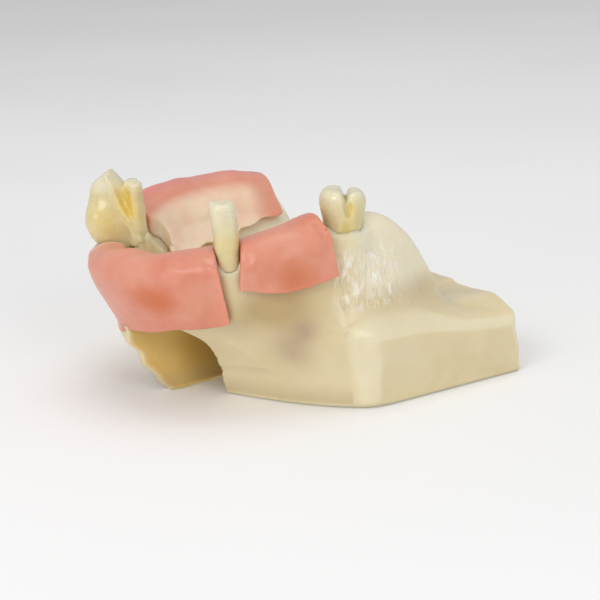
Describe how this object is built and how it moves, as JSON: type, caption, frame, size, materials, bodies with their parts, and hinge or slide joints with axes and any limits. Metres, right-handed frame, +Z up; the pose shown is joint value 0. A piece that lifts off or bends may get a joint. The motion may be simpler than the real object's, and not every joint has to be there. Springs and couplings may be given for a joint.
{
  "type": "implant and sinus lift practice jaw",
  "caption": "Practice upper jaw with removable soft gum saddles, loose teeth in sockets, foam bone cores and sinus membranes, on a squared clamping block.",
  "frame": {"origin": "middle of the resting plane, under the septum web, at the arch's midline", "axes": "+Z up, from the resting plane to the biting side; -Y towards the front of the mouth; +X the patient's right"},
  "size_m": [0.074, 0.0769, 0.0435],
  "materials": {
    "jaw_resin": "waxy gloss, slightly translucent",
    "gum_silicone": "satin, translucent edges",
    "tooth_resin": "gloss",
    "sinus_membrane": "matt",
    "foam_core": "open-pored foam"
  },
  "bodies": {
    "jaw": {"maxilla_body": "jaw_resin", "anterior_bone_core": "foam_core", "right_bone_core": "foam_core", "left_bone_core": "foam_core"},
    "front_gum": {"anterior_gingiva": "gum_silicone"},
    "right_gum": {"right_gingiva": "gum_silicone"},
    "left_gum": {"left_gingiva": "gum_silicone"},
    "premolar": {"left_premolar": "tooth_resin"},
    "canine": {"right_canine": "tooth_resin"},
    "molar": {"right_molar": "tooth_resin"},
    "right_membrane": {"right_sinus_membrane": "sinus_membrane"},
    "left_membrane": {"left_sinus_membrane": "sinus_membrane"}
  },
  "joints": [
    {"name": "front_gum_lift", "type": "slide", "parent": "jaw", "child": "front_gum", "axis": [-0.3, -0.9073, 0.2948], "range_m": [0, 0.025]},
    {"name": "right_gum_lift", "type": "slide", "parent": "jaw", "child": "right_gum", "axis": [0.2621, -0.085, 0.9613], "range_m": [0, 0.02]},
    {"name": "left_gum_lift", "type": "slide", "parent": "jaw", "child": "left_gum", "axis": [-0.3399, -0.16, 0.9268], "range_m": [0, 0.02]},
    {"name": "premolar_pull", "type": "slide", "parent": "jaw", "child": "premolar", "axis": [-0.0243, -0.025, 0.9994], "range_m": [0, 0.018]},
    {"name": "canine_pull", "type": "slide", "parent": "jaw", "child": "canine", "axis": [-0.064, -0.0445, 0.997], "range_m": [0, 0.018]},
    {"name": "molar_pull", "type": "slide", "parent": "jaw", "child": "molar", "axis": [0.0348, -0.0023, 0.9994], "range_m": [0, 0.014]},
    {"name": "right_membrane_pull", "type": "slide", "parent": "jaw", "child": "right_membrane", "axis": [0, 0, -1], "range_m": [0, 0.028]},
    {"name": "left_membrane_pull", "type": "slide", "parent": "jaw", "child": "left_membrane", "axis": [0, 0, -1], "range_m": [0, 0.028]}
  ]
}
